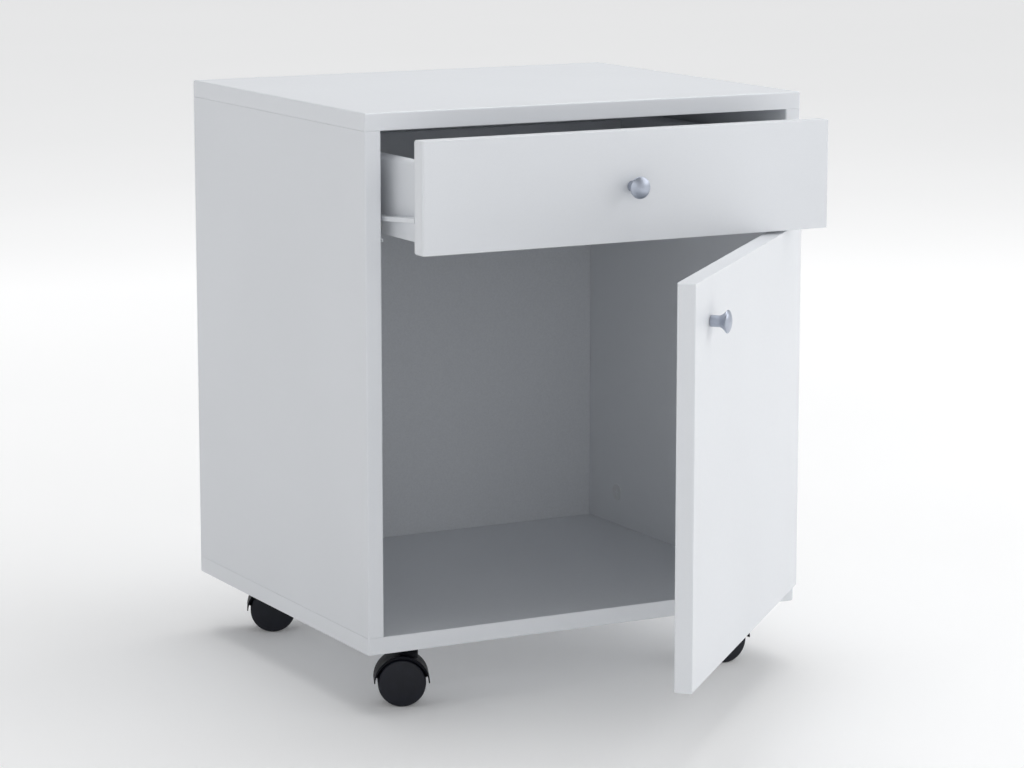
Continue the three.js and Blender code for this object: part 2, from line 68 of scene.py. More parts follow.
MM = 0.001
X, Y, Z = Vector((1, 0, 0)), Vector((0, 1, 0)), Vector((0, 0, 1))
UNMOVED = Matrix.Identity(4)
UPRIGHT = Matrix(((1, 0, 0, 0), (0, 0, 1, 0), (0, 1, 0, 0), (0, 0, 0, 1)))  # swaps Y and Z
SIDES = {"left": -1, "right": 1}
ENDS = ("upper", "lower")
CORNERS = ("front_left", "front_right", "rear_left", "rear_right")

# Small shapes that only the looks have
BOARD_EDGE = 1.8 * MM  # rounding along a board's open edges
JOINT_EDGE = 0.5 * MM  # and where a board meets another
SHEET_EDGE = 0.3 * MM  # and along a hardboard sheet
CAM = {"radius": 8.6 * MM, "lip": 0.5 * MM, "from_end": 34 * MM, "in": 50 * MM, "groove_room": 20 * MM}
KNOB = {"stem": 4.9 * MM, "flare": 7.4 * MM, "rim": 14.0 * MM, "edge": 0.6 * MM}
KNOB_SCREW = {"bore": 2.2 * MM, "deep": 7 * MM}
SCREW = {"radius": 2.7 * MM, "height": 1.3 * MM, "slot": 0.75 * MM, "reach": 1.75 * MM, "sunk": 0.4 * MM}
RAIL = {"wall": 1.2 * MM, "screw_row": 9.5 * MM, "edge": 0.28 * MM, "screw_scale": 0.8}
CABINET_RAIL_SCREWS = (60 * MM, 170 * MM, 310 * MM)  # from the rail's front end
DRAWER_RAIL_SCREWS = (30 * MM, 160 * MM, 300 * MM)
HINGE = {"edge": 0.35 * MM, "plate_screw": 16 * MM, "cup_screw": 22 * MM, "cup_screw_inset": 8 * MM}
CASTER_PLATE = {"thick": 2.5 * MM, "corner": 5 * MM, "screw_inset": 4.6 * MM}
NECK = {"radius": 9 * MM, "socket": 4.3 * MM, "deep": 3.9 * MM}
KINGPIN = {"radius": 4 * MM, "tip": 3.7 * MM, "bevel": 0.3 * MM}
CASTER_EDGE = 0.4 * MM
CAMERA = {"azimuth": -28.2, "elevation": 10.03, "distance": 3.1644, "lens": 120.72}
CAMERA_TARGET = Vector((-0.0464, 0.0267, 0.2807))
# The floor is lit evenly and grows white between these distances from the object's middle
FLOOR_GLOW = {"start": 0.5, "end": 2.6, "near": 0.08, "far": 0.47}
SKY = {"overhead": 0.275, "horizon": 0.78, "band": 8, "clear": 30}  # strengths, and degrees up
SKY_COLOR = (0.975, 0.985, 1, 1)
LIT_POINT = Vector((0, 0, 0.25))  # where the lamps aim
FLOOR = {"half": 60, "under_wheels": 0.2 * MM}


# ------------------------------------------------------------------ materials
class Tree:
    """A material's nodes, with short calls for the few kinds used here."""

    def __init__(self, name, **constants):
        self.material = bpy.data.materials.new(name)
        self.material.use_nodes = True
        self.nodes = self.material.node_tree.nodes
        self.links = self.material.node_tree.links
        self.shader = self.nodes["Principled BSDF"]
        for socket, value in constants.items():
            self.shader.inputs[socket.replace("_", " ")].default_value = value
        self.place = self.nodes.new("ShaderNodeTexCoord").outputs["Object"]
        self.normal = None

    def link(self, source, socket):
        self.links.new(source, socket)

    def math(self, operation, a, b=0.0):
        node = self.nodes.new("ShaderNodeMath")
        node.operation = operation
        for socket, value in zip(node.inputs, (a, b)):
            if isinstance(value, (int, float)):
                socket.default_value = value
            else:
                self.link(value, socket)
        return node.outputs[0]

    def stretched(self, scale):
        node = self.nodes.new("ShaderNodeMapping")
        node.inputs["Scale"].default_value = scale
        self.link(self.place, node.inputs["Vector"])
        return node.outputs[0]

    def noise(self, size, detail=2.0, place=None):
        """Noise whose features are about that size in metres."""
        node = self.nodes.new("ShaderNodeTexNoise")
        node.inputs["Scale"].default_value = 1 / size
        node.inputs["Detail"].default_value = detail
        self.link(place or self.place, node.inputs["Vector"])
        return node.outputs["Fac"]

    def grains(self, size, place=None):
        node = self.nodes.new("ShaderNodeTexVoronoi")
        node.inputs["Scale"].default_value = 1 / size
        self.link(place or self.place, node.inputs["Vector"])
        return node.outputs["Distance"]

    def radius(self):
        """The distance from the object's own Z axis, and the height along it."""
        parts = self.nodes.new("ShaderNodeSeparateXYZ")
        self.link(self.place, parts.inputs[0])
        x2 = self.math("MULTIPLY", parts.outputs[0], parts.outputs[0])
        y2 = self.math("MULTIPLY", parts.outputs[1], parts.outputs[1])
        return self.math("SQRT", self.math("ADD", x2, y2)), parts.outputs[2]

    def rings(self, pitch):
        """Fine turned rings around the object's own Z axis."""
        radius, height = self.radius()
        around = self.nodes.new("ShaderNodeCombineXYZ")
        self.link(radius, around.inputs[0])
        self.link(height, around.inputs[2])
        return self.noise(pitch, 3.0, around.outputs[0])

    def ramp(self, factor, low, high, start=0.35, end=0.65):
        node = self.nodes.new("ShaderNodeValToRGB")
        node.color_ramp.elements[0].position = start
        node.color_ramp.elements[1].position = end
        node.color_ramp.elements[0].color = (*low, 1)
        node.color_ramp.elements[1].color = (*high, 1)
        self.link(factor, node.inputs[0])
        return node.outputs["Color"]

    def tint(self, color, other):
        node = self.nodes.new("ShaderNodeMix")
        node.data_type = "RGBA"
        node.blend_type = "MULTIPLY"
        node.inputs["Factor"].default_value = 1
        self.link(color, node.inputs["A"])
        self.link(other, node.inputs["B"])
        return node.outputs["Result"]

    def spread(self, factor, low, high, start=0.3, end=0.7):
        node = self.nodes.new("ShaderNodeMapRange")
        node.inputs["From Min"].default_value = start
        node.inputs["From Max"].default_value = end
        node.inputs["To Min"].default_value = low
        node.inputs["To Max"].default_value = high
        self.link(factor, node.inputs["Value"])
        return node.outputs["Result"]

    def color(self, source):
        self.link(source, self.shader.inputs["Base Color"])

    def roughness(self, factor, low, high):
        self.link(self.spread(factor, low, high), self.shader.inputs["Roughness"])

    def relief(self, height, depth, strength=1.0):
        node = self.nodes.new("ShaderNodeBump")
        node.inputs["Strength"].default_value = strength
        node.inputs["Distance"].default_value = depth
        self.link(height, node.inputs["Height"])
        if self.normal:
            self.link(self.normal, node.inputs["Normal"])
        self.normal = node.outputs["Normal"]
        self.link(self.normal, self.shader.inputs["Normal"])


def scaled(color, factor):
    return tuple(channel * factor for channel in color)


WHITE = (0.775, 0.795, 0.825)


def melamine(name, brightness, rough):
    """Paper-faced board: even white, a pearl grain and the faint waves of its core."""
    tree = Tree(name)
    waves = tree.noise(160 * MM, detail=1)
    broad = tree.ramp(waves, scaled(WHITE, brightness * 0.985), scaled(WHITE, brightness))
    pearl = tree.noise(0.9 * MM, detail=3)
    tree.color(tree.tint(broad, tree.ramp(pearl, low=(0.985,) * 3, high=(1, 1, 1))))
    tree.roughness(tree.noise(3 * MM, detail=2), low=rough - 0.05, high=rough + 0.05)
    tree.relief(tree.noise(14 * MM, detail=1), depth=0.05 * MM, strength=0.4)
    tree.relief(pearl, depth=0.015 * MM, strength=0.5)
    return tree.material


def hardboard():
    """Lacquered hardboard: a soft white film over felted fibres."""
    tree = Tree("white_hardboard")
    fibres = tree.noise(1.6 * MM, detail=4, place=tree.stretched((1, 3, 1)))
    specks = tree.grains(2.4 * MM)
    film = tree.ramp(fibres, scaled(WHITE, 0.93), scaled(WHITE, 0.98))
    tree.color(tree.tint(film, tree.ramp(specks, low=(0.96,) * 3, high=(1, 1, 1), start=0.0, end=0.35)))
    tree.roughness(fibres, low=0.5, high=0.62)
    tree.relief(fibres, depth=0.05 * MM, strength=0.6)
    return tree.material


def powder_coat():
    """White powder coat with its orange peel."""
    tree = Tree("white_powder_coat", Coat_Weight=0.15, Coat_Roughness=0.2)
    peel = tree.noise(1.1 * MM, detail=1)
    tree.color(tree.ramp(tree.noise(20 * MM, detail=2), scaled(WHITE, 0.98), scaled(WHITE, 1.02)))
    tree.roughness(peel, low=0.34, high=0.44)
    tree.relief(peel, depth=0.04 * MM, strength=0.7)
    return tree.material


def turned_metal(name, color, low, high):
    """Satin metal with the rings of its turning and a few handling marks."""
    tree = Tree(name, Metallic=1.0)
    rings = tree.rings(pitch=0.16 * MM)
    marks = tree.noise(2.2 * MM, detail=4)
    tree.color(tree.ramp(marks, scaled(color, 0.93), color))
    tree.roughness(rings, low, high)
    tree.relief(rings, depth=0.006 * MM, strength=0.6)
    tree.relief(marks, depth=0.01 * MM, strength=0.3)
    return tree.material


def pressed_steel(name, color, low, high):
    """Plated steel: a fine rolled grain and cloudy plating."""
    tree = Tree(name, Metallic=1.0)
    rolled = tree.noise(0.5 * MM, detail=3, place=tree.stretched((1, 1, 0.12)))
    clouds = tree.noise(6 * MM, detail=3)
    tree.color(tree.ramp(clouds, scaled(color, 0.9), color))
    tree.roughness(rolled, low, high)
    tree.relief(rolled, depth=0.008 * MM, strength=0.5)
    return tree.material


def black_nylon(name, level, gloss, low, high):
    """Moulded nylon: spark-eroded skin, slightly polished where it rubs."""
    tree = Tree(name, Specular_IOR_Level=gloss)
    skin = tree.noise(0.35 * MM, detail=3)
    haze = tree.noise(9 * MM, detail=3)
    color = (level, level * 1.15, level * 1.9)
    tree.color(tree.ramp(haze, scaled(color, 0.85), scaled(color, 1.15)))
    tree.roughness(haze, low, high)
    tree.relief(skin, depth=0.02 * MM, strength=0.7)
    return tree.material


def moulded(name, color, rough):
    """Plain moulded plastic with a fine skin and flow marks."""
    tree = Tree(name, Subsurface_Weight=0.05, Subsurface_Scale=2 * MM)
    flow = tree.noise(7 * MM, detail=2)
    skin = tree.noise(0.4 * MM, detail=2)
    tree.color(tree.ramp(flow, scaled(color, 0.97), color))
    tree.roughness(flow, low=rough - 0.05, high=rough + 0.05)
    tree.relief(skin, depth=0.012 * MM, strength=0.5)
    return tree.material


FACE = melamine("melamine_face", brightness=1.0, rough=0.42)
BANDING = melamine("edge_banding", brightness=1.015, rough=0.34)
HARDBOARD = hardboard()
COATED = powder_coat()
KNOB_METAL = turned_metal("knob_metal", (0.44, 0.475, 0.55), low=0.3, high=0.42)
PLATED = pressed_steel("hinge_plating", (0.72, 0.73, 0.75), low=0.26, high=0.4)
ZINC = pressed_steel("zinc_plating", (0.55, 0.56, 0.58), low=0.28, high=0.42)
HOOD_BLACK = black_nylon("hood_nylon", level=0.004, gloss=0.1, low=0.46, high=0.58)
WHEEL_BLACK = black_nylon("wheel_nylon", level=0.0085, gloss=0.3, low=0.38, high=0.5)
ACETAL = moulded("roller_acetal", (0.82, 0.82, 0.79), rough=0.35)
CAM_WHITE = moulded("cam_cap_plastic", (0.74, 0.75, 0.77), rough=0.4)
MATERIAL_OF_SLOT = {
    "hardboard": HARDBOARD,
    "white_steel": COATED,
    "hinge_steel": PLATED,
    "pin_steel": ZINC,
    "black_plastic": HOOD_BLACK,
    "roller_plastic": ACETAL,
}


# -------------------------------------------------------------- mesh helpers
def copy_of(node):
    """The CAD node's mesh with its split vertices joined and its flat faces whole."""
    mesh = bmesh.new()
    mesh.from_mesh(nodes[node].data)
    bmesh.ops.remove_doubles(mesh, verts=mesh.verts, dist=1e-6)
    bmesh.ops.dissolve_limit(mesh, angle_limit=math.radians(0.5), verts=mesh.verts, edges=mesh.edges)
    return mesh


def mesh_box(mesh):
    places = [vert.co for vert in mesh.verts]
    low = Vector(min(p[i] for p in places) for i in range(3))
    high = Vector(max(p[i] for p in places) for i in range(3))
    return low, high


def own_box(node, to_world):
    """The CAD node's box in its own turned axes."""
    mesh = moved(copy_of(node), to_world.inverted())
    low, high = mesh_box(mesh)
    mesh.free()
    return low, high


def box_edges(mesh):
    """The edges along the mesh's box, each with the two box faces (axis, end) it lies on."""
    low, high = mesh_box(mesh)
    near = 0.01 * MM

    def faces(place):
        found = set()
        for i in range(3):
            found |= {(i, 0)} if abs(place[i] - low[i]) < near else set()
            found |= {(i, 1)} if abs(place[i] - high[i]) < near else set()
        return found

    on = {vert: faces(vert.co) for vert in mesh.verts}
    shared = {edge: on[edge.verts[0]] & on[edge.verts[1]] for edge in mesh.edges}
    return {edge: both for edge, both in shared.items() if len(both) >= 2}


def sharp_edges(mesh, angle, shortest=0.0):
    folded = [e for e in mesh.edges if e.is_manifold and e.calc_face_angle(0) > math.radians(angle)]
    return [edge for edge in folded if edge.calc_length() > shortest]


def rounded(mesh, edges, radius, segments=3):
    bmesh.ops.bevel(
        mesh,
        geom=edges,
        offset=radius,
        segments=segments,
        profile=0.5,
        affect="EDGES",
        clamp_overlap=True,
    )
    return mesh


def lathe(profile, segments=64):
    """A turned form around Z from (radius, height) pairs; ends on the axis are closed."""
    mesh = bmesh.new()
    rows = []
    for radius, height in profile:
        if radius < 1e-7:
            rows.append([mesh.verts.new((0, 0, height))])
            continue
        turn = [2 * math.pi * i / segments for i in range(segments)]
        rows.append([mesh.verts.new((radius * math.cos(a), radius * math.sin(a), height)) for a in turn])
    for one, two in zip(rows, rows[1:]):
        for i in range(segments):
            j = (i + 1) % segments
            around = [one[i % len(one)], one[j % len(one)], two[j % len(two)], two[i % len(two)]]
            corners = list(dict.fromkeys(around))
            if len(corners) > 2:
                mesh.faces.new(corners)
    bmesh.ops.recalc_face_normals(mesh, faces=mesh.faces)
    return mesh


def arc(centre, radius, start, end, steps=6):
    """Points of an arc in the profile's plane, with angles in degrees."""
    angles = [math.radians(start + (end - start) * i / steps) for i in range(steps + 1)]
    return [(centre[0] + radius * math.cos(a), centre[1] + radius * math.sin(a)) for a in angles]


def slab(outline, low, high):
    """An outline in X and Y, given thickness along Z."""
    mesh = bmesh.new()
    bottom = [mesh.verts.new((x, y, low)) for x, y in outline]
    top = [mesh.verts.new((x, y, high)) for x, y in outline]
    mesh.faces.new(bottom)
    mesh.faces.new(top)
    for i in range(len(outline)):
        j = (i + 1) % len(outline)
        mesh.faces.new((bottom[i], bottom[j], top[j], top[i]))
    bmesh.ops.recalc_face_normals(mesh, faces=mesh.faces)
    return mesh


def upright_slab(outline, low, high):
    """An outline in X and Z, given thickness along Y."""
    mesh = moved(slab(outline, low, high), UPRIGHT)
    bmesh.ops.recalc_face_normals(mesh, faces=mesh.faces)
    return mesh


def round_square(half, radius):
    points = []
    for sx, sy, start in ((1, 1, 0), (-1, 1, 90), (-1, -1, 180), (1, -1, 270)):
        centre = (sx * (half - radius), sy * (half - radius))
        points += arc(centre, radius, start, start + 90, steps=5)
    return points


def moved(mesh, matrix):
    bmesh.ops.transform(mesh, matrix=matrix, verts=mesh.verts)
    return mesh


def merged(*meshes):
    """All the meshes as one, each still its own closed shell."""
    whole = bmesh.new()
    for mesh in meshes:
        data = bpy.data.meshes.new("shell")
        mesh.to_mesh(data)
        whole.from_mesh(data)
        bpy.data.meshes.remove(data)
        mesh.free()
    return whole


def shape_of(mesh):
    data = bpy.data.meshes.new("shape")
    mesh.to_mesh(data)
    mesh.free()
    shape = bpy.data.objects.new("shape", data)
    bpy.context.scene.collection.objects.link(shape)
    return shape


def combined(body, tool, operation):
    """The body with a tool cut from it or joined to it."""
    first, second = shape_of(body), shape_of(tool)
    step = first.modifiers.new("combine", "BOOLEAN")
    step.operation = operation
    step.solver = "EXACT"
    step.object = second
    graph = bpy.context.evaluated_depsgraph_get()
    result = bmesh.new()
    result.from_mesh(first.evaluated_get(graph).to_mesh())
    for shape in (first, second):
        bpy.data.objects.remove(shape)
    return result


def eased(mesh, radii, segments=4):
    """The mesh with each of the given edges rounded by its own radius."""
    largest = max(radii.values())
    weights = {tuple(sorted(v.index for v in edge.verts)): r / largest for edge, r in radii.items()}
    shape = shape_of(mesh)
    layer = shape.data.attributes.new("bevel_weight_edge", "FLOAT", "EDGE")
    for edge in shape.data.edges:
        layer.data[edge.index].value = weights.get(tuple(sorted(edge.vertices)), 0.0)
    step = shape.modifiers.new("ease", "BEVEL")
    step.limit_method = "WEIGHT"
    step.width = largest
    step.segments = segments
    graph = bpy.context.evaluated_depsgraph_get()
    result = bmesh.new()
    result.from_mesh(shape.evaluated_get(graph).to_mesh())
    bpy.data.objects.remove(shape)
    return result


def piece(name, mesh, body, materials, stands_for=(), matrix=UNMOVED, crease=32, even=True):
    """A finished piece: shaded by its creases in degrees, riding on a body and given its materials."""
    data = bpy.data.meshes.new(name)
    mesh.to_mesh(data)
    mesh.free()
    for material in materials:
        data.materials.append(material)
    data.shade_smooth()
    data.set_sharp_from_angle(angle=math.radians(crease))
    shown = bpy.data.objects.new(name, data)
    bpy.context.scene.collection.objects.link(shown)
    shown.matrix_world = matrix
    if even:
        step = shown.modifiers.new("even_normals", "WEIGHTED_NORMAL")
        step.keep_sharp = True
    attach(shown, body)
    if stands_for:
        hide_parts(*stands_for)
    return shown


def standing_for(node, mesh, materials=None, matrix=UNMOVED, crease=32, even=True):
    """The finished piece that stands for one CAD node."""
    slot = slot_of[node]
    used = materials or [MATERIAL_OF_SLOT[slot]]
    return piece(f"{node}_look", mesh, body_of[node], used, [node], matrix, crease, even)


# ------------------------------------------------------------------- boards
def door_frame():
    """The door's own axes: its place and turn come from its joint."""
    joint = joints["door_swing"]
    opened = math.radians(-joint["range_deg"][0])
    return Matrix.Translation(joint["pos_m"]) @ Matrix.Rotation(opened, 4, "Z")


DOOR = door_frame()


def board(node, to_world=UNMOVED, joints_on=()):
    """A melamine board, banded on every narrow side; its edges stay crisp at its joints."""
    mesh = moved(copy_of(node), to_world.inverted())
    low, high = mesh_box(mesh)
    size = high - low
    thin = min(range(3), key=lambda i: size[i])
    for face in mesh.faces:
        face.material_index = 0 if abs(face.normal[thin]) > 0.9 else 1
    mesh.edges.index_update()
    mesh.verts.index_update()
    meets = set(joints_on)
    radii = {edge: JOINT_EDGE if both & meets else BOARD_EDGE for edge, both in box_edges(mesh).items()}
    standing_for(node, eased(mesh, radii), [FACE, BANDING], to_world)


def sheet(node):
    """A thin hardboard panel."""
    mesh = copy_of(node)
    edges = list(box_edges(mesh))
    standing_for(node, rounded(mesh, edges, SHEET_EDGE, segments=2))


def carcass_boards():
    under, over = (2, 0), (2, 1)
    board("top_panel", joints_on=[under])
    board("bottom_panel", joints_on=[over])
    for name in SIDES:
        board(f"side_panel_{name}", joints_on=[under, over])
    sheet("back_panel")


def drawer_boards():
    board("drawer_front")
    board("drawer_back")
    sheet("drawer_bottom")
    for name in SIDES:
        drawer_side(f"drawer_side_{name}")


def drawer_side(node):
    """A wrapped drawer side: a round top edge, and a groove that holds the bottom."""
    low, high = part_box(node)
    floor_low, floor_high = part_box("drawer_bottom")
    outward = 1 if high.x > 0 else -1
    outer, inner = (high.x, low.x) if outward > 0 else (low.x, high.x)
    gap = 0.3 * MM
    groove = floor_high.x + gap if outward > 0 else floor_low.x - gap
    top = 5.5 * MM
    foot = 0.8 * MM
    # (X, Z) outline, from the outer foot up and over to the inner foot
    over_outer = arc((outer - outward * top, high.z - top), top, 0 if outward > 0 else 180, 90, 10)
    over_inner = arc((inner + outward * top, high.z - top), top, 90, 180 if outward > 0 else 0, 10)
    outline = [(outer - outward * foot, low.z), (outer, low.z + foot), *over_outer, *over_inner]
    outline += [(inner, floor_high.z + gap), (groove, floor_high.z + gap)]
    outline += [(groove, floor_low.z - gap), (inner, floor_low.z - gap)]
    outline += [(inner, low.z + foot), (inner + outward * foot, low.z)]
    standing_for(node, upright_slab(outline, low.y, high.y), [FACE], crease=35)


# --------------------------------------------------------------- small metal
def cross(width, reach):
    """The outline of a driver's cross, from half its bar's width and its reach."""
    half = [(reach, width), (width, width), (width, reach)]
    half += [(-width, reach), (-width, width), (-reach, width)]
    return half + [(-x, -y) for x, y in half]


def screw_head():
    """A pan head with a cross recess, seated on Z = 0 and facing up."""
    radius, height, sunk = SCREW["radius"], SCREW["height"], SCREW["sunk"]
    steps = 6
    turns = [math.pi / 2 * i / steps for i in range(steps + 1)]
    dome = [(radius * math.cos(a), height * math.sin(a)) for a in turns]
    profile = [(0, -sunk), (radius * 0.8, -sunk), (radius, 0), *dome[1:steps], (0, height)]
    head = lathe(profile, segments=28)
    recess = cross(SCREW["slot"] / 2, SCREW["reach"] / 2 + 0.3 * MM)
    return combined(head, slab(recess, height * 0.35, height * 2), "DIFFERENCE")


def facing(place, normal, turn=0.0):
    """A matrix that stands a Z-up form on a place, facing along a normal."""
    upright = Vector(normal).to_track_quat("Z", "Y").to_matrix().to_4x4()
    return Matrix.Translation(place) @ upright @ Matrix.Rotation(turn, 4, "Z")


def screws(name, body, places, normal, scale=1.0, to_world=UNMOVED):
    """Several screw heads as one piece, each turned its own way."""
    pattern = screw_head()
    first_turn, next_turn = 0.6, 1.9
    heads = []
    for i, place in enumerate(places):
        seat = facing(place, normal, first_turn + next_turn * i)
        heads.append(moved(pattern.copy(), seat @ Matrix.Scale(scale, 4)))
    pattern.free()
    piece(name, merged(*heads), body, [ZINC], matrix=to_world, crease=30)


def cam_caps():
    """The round housings of the cam locks, flush in the sides' inner faces."""
    for name, side in SIDES.items():
        low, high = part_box(f"side_panel_{name}")
        inner = low.x if side > 0 else high.x
        caps = []
        for z in (low.z + CAM["from_end"], high.z - CAM["from_end"]):
            for y in (low.y + CAM["in"], high.y - CAM["in"] - CAM["groove_room"]):
                caps.append(moved(cam_cap(), facing((inner, y, z), -side * X)))
        piece(f"cam_caps_{name}", merged(*caps), "carcass", [CAM_WHITE], crease=30)


def cam_cap():
    radius, lip = CAM["radius"], CAM["lip"]
    sunk, rim_width, slot, reach, slot_deep = 1 * MM, 1.2 * MM, 0.6 * MM, 3.4 * MM, 0.6 * MM
    rim = arc((radius - lip, 0), lip, 0, 90, steps=4)
    profile = [(0, -sunk), (radius, -sunk), *rim, (radius - rim_width, lip * 0.5), (0, lip * 0.5)]
    body = lathe(profile, segments=40)
    return combined(body, slab(cross(slot, reach), -slot_deep, lip * 2), "DIFFERENCE")


def knob(kind, normal, to_world=UNMOVED):
    """A turned knob: a straight stem that flares like a trumpet to a thin domed head."""
    node, screw = f"{kind}_knob", f"{kind}_knob_screw"
    low, high = own_box(node, to_world)
    radius = (high.z - low.z) / 2
    length = high.y - low.y
    seat = Vector(((low.x + high.x) / 2, high.y, (low.z + high.z) / 2))
    stem, flare, rim, edge = KNOB["stem"], KNOB["flare"], KNOB["rim"], KNOB["edge"]
    bore, deep = KNOB_SCREW["bore"], KNOB_SCREW["deep"]
    foot = 0.25 * MM
    steps = 12
    widening, rising = 1.45, 0.95
    trumpet = []
    for i in range(steps + 1):
        t = i / steps
        trumpet.append((stem + (radius - stem) * t**widening, flare + (rim - flare) * t**rising))
    dome_height = length - rim - 2 * edge
    dome_radius = (radius**2 + dome_height**2) / (2 * dome_height)
    dome = []
    for i in range(1, steps + 1):
        r = (radius - edge) * (1 - i / steps)
        dome.append((r, length - dome_radius + math.sqrt(dome_radius**2 - r**2)))
    profile = [(0, deep), (bore, deep), (bore, 0), (stem - foot, 0), (stem, foot)]
    profile += trumpet
    profile += arc((radius - edge, rim + edge), edge, 0, 80, steps=4)
    profile += dome
    place = to_world @ facing(seat, normal)
    standing_for(node, lathe(profile, segments=72), [KNOB_METAL], place, crease=40, even=False)
    turned_pin(screw, 0.15 * MM, segments=1, crease=30)


def turned_pin(node, radius, segments=2, crease=32):
    """A zinc pin or screw as the CAD has it, with its ends rounded."""
    mesh = copy_of(node)
    standing_for(node, rounded(mesh, sharp_edges(mesh, 60), radius, segments), [ZINC], crease=crease)


def pressed(node, radius):
    """A steel part as the CAD has it, with its sharp edges broken."""
    mesh = copy_of(node)
    rounded(mesh, sharp_edges(mesh, 35, shortest=0.6 * MM), radius, segments=2)
    standing_for(node, mesh, crease=34)


# ------------------------------------------------------------------- runners
def roller(node):
    """A runner wheel: a crowned tread, a dished face and its bore."""
    low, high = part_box(node)
    radius = (high.z - low.z) / 2
    width = high.x - low.x
    centre = (low + high) / 2
    bore = 2.5 * MM
    edge = 0.9 * MM
    dish = 0.6 * MM
    hub, dish_start = bore + 1.4 * MM, bore + 1.8 * MM
    dish_end, rim = radius - 2.2 * MM, radius - 1.8 * MM
    half = width / 2
    tread = arc((radius - edge, half - edge), edge, 90, 0, steps=5)
    tread += arc((radius - edge, edge - half), edge, 0, -90, steps=5)
    face = [(bore, half), (hub, half), (dish_start, half - dish), (dish_end, half - dish), (rim, half)]
    back = [(r, -h) for r, h in reversed(face)]
    mesh = lathe(face + tread + back + [(bore, half)], segments=56)
    standing_for(node, mesh, [ACETAL], facing(centre, X), crease=30)


def runners():
    for name, side in SIDES.items():
        for owner in ("cabinet", "drawer"):
            pressed(f"{owner}_rail_{name}", RAIL["edge"])
            roller(f"{owner}_roller_{name}")
        low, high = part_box(f"cabinet_rail_{name}")
        wall = high.x - RAIL["wall"] if side > 0 else low.x + RAIL["wall"]
        z = low.z + RAIL["screw_row"]
        places = [(wall, low.y + depth, z) for depth in CABINET_RAIL_SCREWS]
        screws(f"cabinet_rail_screws_{name}", "carcass", places, -side * X, RAIL["screw_scale"])
        low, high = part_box(f"drawer_rail_{name}")
        under = low.z
        middle = (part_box(f"drawer_side_{name}")[0].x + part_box(f"drawer_side_{name}")[1].x) / 2
        places = [(middle, low.y + depth, under) for depth in DRAWER_RAIL_SCREWS]
        screws(f"drawer_rail_screws_{name}", "drawer", places, -Z, RAIL["screw_scale"])


# -------------------------------------------------------------------- hinges
def hinges():
    for end in ENDS:
        plate = f"hinge_plate_{end}"
        for node in (plate, f"hinge_arm_{end}", f"arm_link_{end}", f"cup_link_{end}", f"hinge_cup_{end}"):
            pressed(node, HINGE["edge"])
        for node in (f"arm_pin_{end}", f"knee_pin_{end}", f"cup_pin_{end}"):
            turned_pin(node, 0.25 * MM)
        low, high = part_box(plate)
        centre = (low + high) / 2
        places = [(low.x, centre.y, centre.z + side * HINGE["plate_screw"]) for side in (-1, 1)]
        screws(f"hinge_plate_screws_{end}", "carcass", places, -X)
        hinge_cup_screws(end)


def hinge_cup_screws(end):
    low, high = own_box(f"hinge_cup_{end}", DOOR)
    x = high.x - HINGE["cup_screw_inset"]
    z = (low.z + high.z) / 2
    places = [(x, high.y, z + side * HINGE["cup_screw"]) for side in (-1, 1)]
    screws(f"hinge_cup_screws_{end}", "door", places, Y, to_world=DOOR)


# ------------------------------------------------------------------- casters
def caster_frame(corner):
    """The swivel's axes on the floor, with the wheels trailing along X."""
    swivel = Vector(joints[f"caster_{corner}_swivel"]["pos_m"])
    wheel = Vector(joints[f"caster_wheel_{corner}_a_spin"]["pos_m"])
    trail = wheel - swivel
    turn = math.atan2(trail.y, trail.x)
    floor = Matrix.Translation((swivel.x, swivel.y, 0)) @ Matrix.Rotation(turn, 4, "Z")
    return floor, Vector((math.hypot(trail.x, trail.y), 0, wheel.z))


def caster_plate(corner):
    """The square plate with its boss and kingpin, and the heads of its four screws."""
    node = f"caster_plate_{corner}"
    low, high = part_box(node)
    centre = (low + high) / 2
    half = (high.x - low.x) / 2
    base = high.z - CASTER_PLATE["thick"]
    under = base - high.z
    plate = slab(round_square(half, CASTER_PLATE["corner"]), under, 0)
    rounded(plate, sharp_edges(plate, 60), CASTER_EDGE, segments=2)
    pin_foot = low.z - high.z
    boss_top = under + 0.2 * MM
    boss_foot = pin_foot + NECK["deep"]
    wide = NECK["radius"]
    pin, tip, bevel = KINGPIN["radius"], KINGPIN["tip"], KINGPIN["bevel"]
    # (radius, height) from the axis out under the plate, down the boss and down the kingpin
    boss = [(0, boss_top), (wide + 1.6 * MM, boss_top), (wide + 1.1 * MM, under - 0.5 * MM)]
    boss += [(wide, under - 1 * MM), (wide, boss_foot + CASTER_EDGE), (wide - CASTER_EDGE, boss_foot)]
    boss += [(pin, boss_foot), (pin, pin_foot + bevel), (tip, pin_foot), (0, pin_foot)]
    place = Matrix.Translation((centre.x, centre.y, high.z))
    mesh = merged(plate, lathe(boss, segments=40))
    standing_for(node, mesh, [HOOD_BLACK], place)
    inset = half - CASTER_PLATE["screw_inset"]
    places = [(centre.x + sx * inset, centre.y + sy * inset, base) for sx in (-1, 1) for sy in (-1, 1)]
    screws(f"caster_screws_{corner}", "carcass", places, -Z)


def hood_underside(centre, outer, steps=40):
    """The hood's inner line from its front tip to its rear one: it thins towards both."""
    crown, thinning = 2.6, 1.5  # millimetres
    line = []
    for i in range(steps + 1):
        angle = math.pi * i / steps
        inner = outer - (crown - thinning * math.cos(angle) ** 6) * MM
        line.append((centre[0] + inner * math.cos(angle), centre[1] + inner * math.sin(angle)))
    return line


